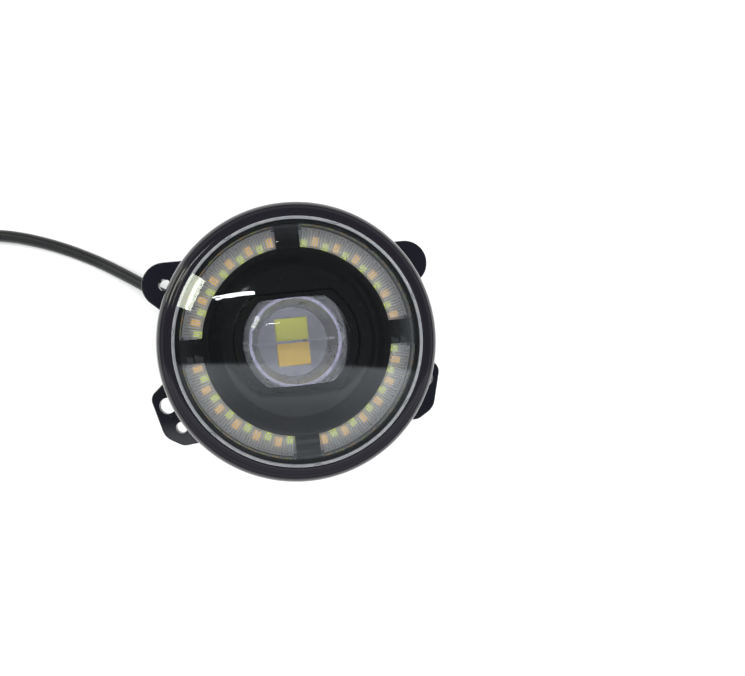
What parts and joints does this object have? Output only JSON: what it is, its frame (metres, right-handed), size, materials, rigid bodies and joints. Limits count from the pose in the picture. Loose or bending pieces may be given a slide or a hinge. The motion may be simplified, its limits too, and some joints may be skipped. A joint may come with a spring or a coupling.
{
  "type": "fog light",
  "caption": "Round LED projector fog lamp with a segmented halo, tilting on two side pivots in an eared mounting cup, with a short sealed-plug lead.",
  "frame": {"origin": "centre of the flat rear face of the mounting bracket, on the lamp axis", "axes": "+Z is the way the light shines, +X is along the tilt pivots towards the side away from the cable, +Y is up on the vehicle"},
  "size_m": [0.3309, 0.1328, 0.105],
  "materials": {
    "bracket_gloss_black": "very glossy injection-moulded black plastic",
    "bezel_satin_black": "satin black moulded plastic with a fine texture",
    "housing_satin_black": "satin black moulded plastic",
    "clear_lens": "clear polycarbonate, hard coated",
    "trim_gloss_black": "piano black plastic",
    "board_white": "white solder mask on a circuit board",
    "board_green": "green solder mask on a circuit board",
    "led_amber": "amber phosphor",
    "led_yellow_white": "yellow phosphor under clear silicone",
    "projector_glass": "polished clear glass",
    "halo_guide_clear": "clear acrylic light guide with moulded flutes",
    "bright_metal": "zinc-plated steel",
    "reflector_chrome": "vacuum-metallised reflector",
    "heat_sink_aluminium": "die-cast aluminium, black coated",
    "component_black": "black nylon",
    "component_white": "natural white acetal",
    "cable_jacket": "black flexible jacket",
    "black_rubber": "black rubber",
    "wedge_orange": "orange lock plate of a sealed plug",
    "contact_brass": "plated brass contacts"
  },
  "bodies": {
    "bracket": {"mounting_bracket": "bracket_gloss_black", "cable_grommet": "black_rubber", "inner_lead": "cable_jacket", "cable": "cable_jacket", "plug_boot": "black_rubber", "plug_body": "component_black", "plug_wedge": "wedge_orange", "plug_latch": "component_black", "plug_contacts": "contact_brass"},
    "lamp": {"cable_gland": "component_black", "cutoff_shield": "bright_metal", "driver_board": "board_green", "driver_board_screws": "bright_metal", "driver_components": "component_black", "emitter_amber": "led_amber", "emitter_board": "board_white", "emitter_board_screws": "bright_metal", "emitter_white": "led_yellow_white", "front_bezel": "bezel_satin_black", "halo_board": "board_white", "halo_guide_1": "halo_guide_clear", "halo_guide_2": "halo_guide_clear", "halo_guide_3": "halo_guide_clear", "halo_guide_4": "halo_guide_clear", "halo_leds_amber": "led_amber", "halo_leds_white": "led_yellow_white", "heat_sink": "heat_sink_aluminium", "heat_sink_screws": "bright_metal", "holder_screws": "bright_metal", "inner_trim": "trim_gloss_black", "lamp_housing": "housing_satin_black", "lens_gasket": "black_rubber", "lens_holder": "trim_gloss_black", "lens_retainer": "bright_metal", "outer_lens": "clear_lens", "projector_lens": "projector_glass", "rear_seal": "black_rubber", "reflector_bowl": "reflector_chrome", "vent_plug": "component_black"},
    "adjuster": {"adjuster_screw": "bright_metal", "adjuster_clip": "bright_metal"},
    "adjuster_nut_body": {"adjuster_nut": "component_white"}
  },
  "joints": [
    {"name": "lamp_tilt", "type": "hinge", "parent": "bracket", "child": "lamp", "pos_m": [0, 0, 0.0455], "axis": [1, 0, 0], "range_deg": [-6, 6], "deforming": ["inner_lead"]},
    {"name": "adjuster_nut_slide", "type": "slide", "parent": "bracket", "child": "adjuster_nut_body", "axis": [0, 0, 1], "range_m": [-0.0037, 0.0037]},
    {"name": "adjuster_turn", "type": "hinge", "parent": "bracket", "child": "adjuster", "pos_m": [0, -0.035, 0], "axis": [0, 0, 1], "range_deg": [-879.65, 879.65]}
  ],
  "couplings": [
    {"joint": "adjuster_nut_slide", "follows": "adjuster_turn", "m_per_rad": -0.00023873},
    {"joint": "lamp_tilt", "follows": "adjuster_turn", "ratio": 0.0068209}
  ]
}
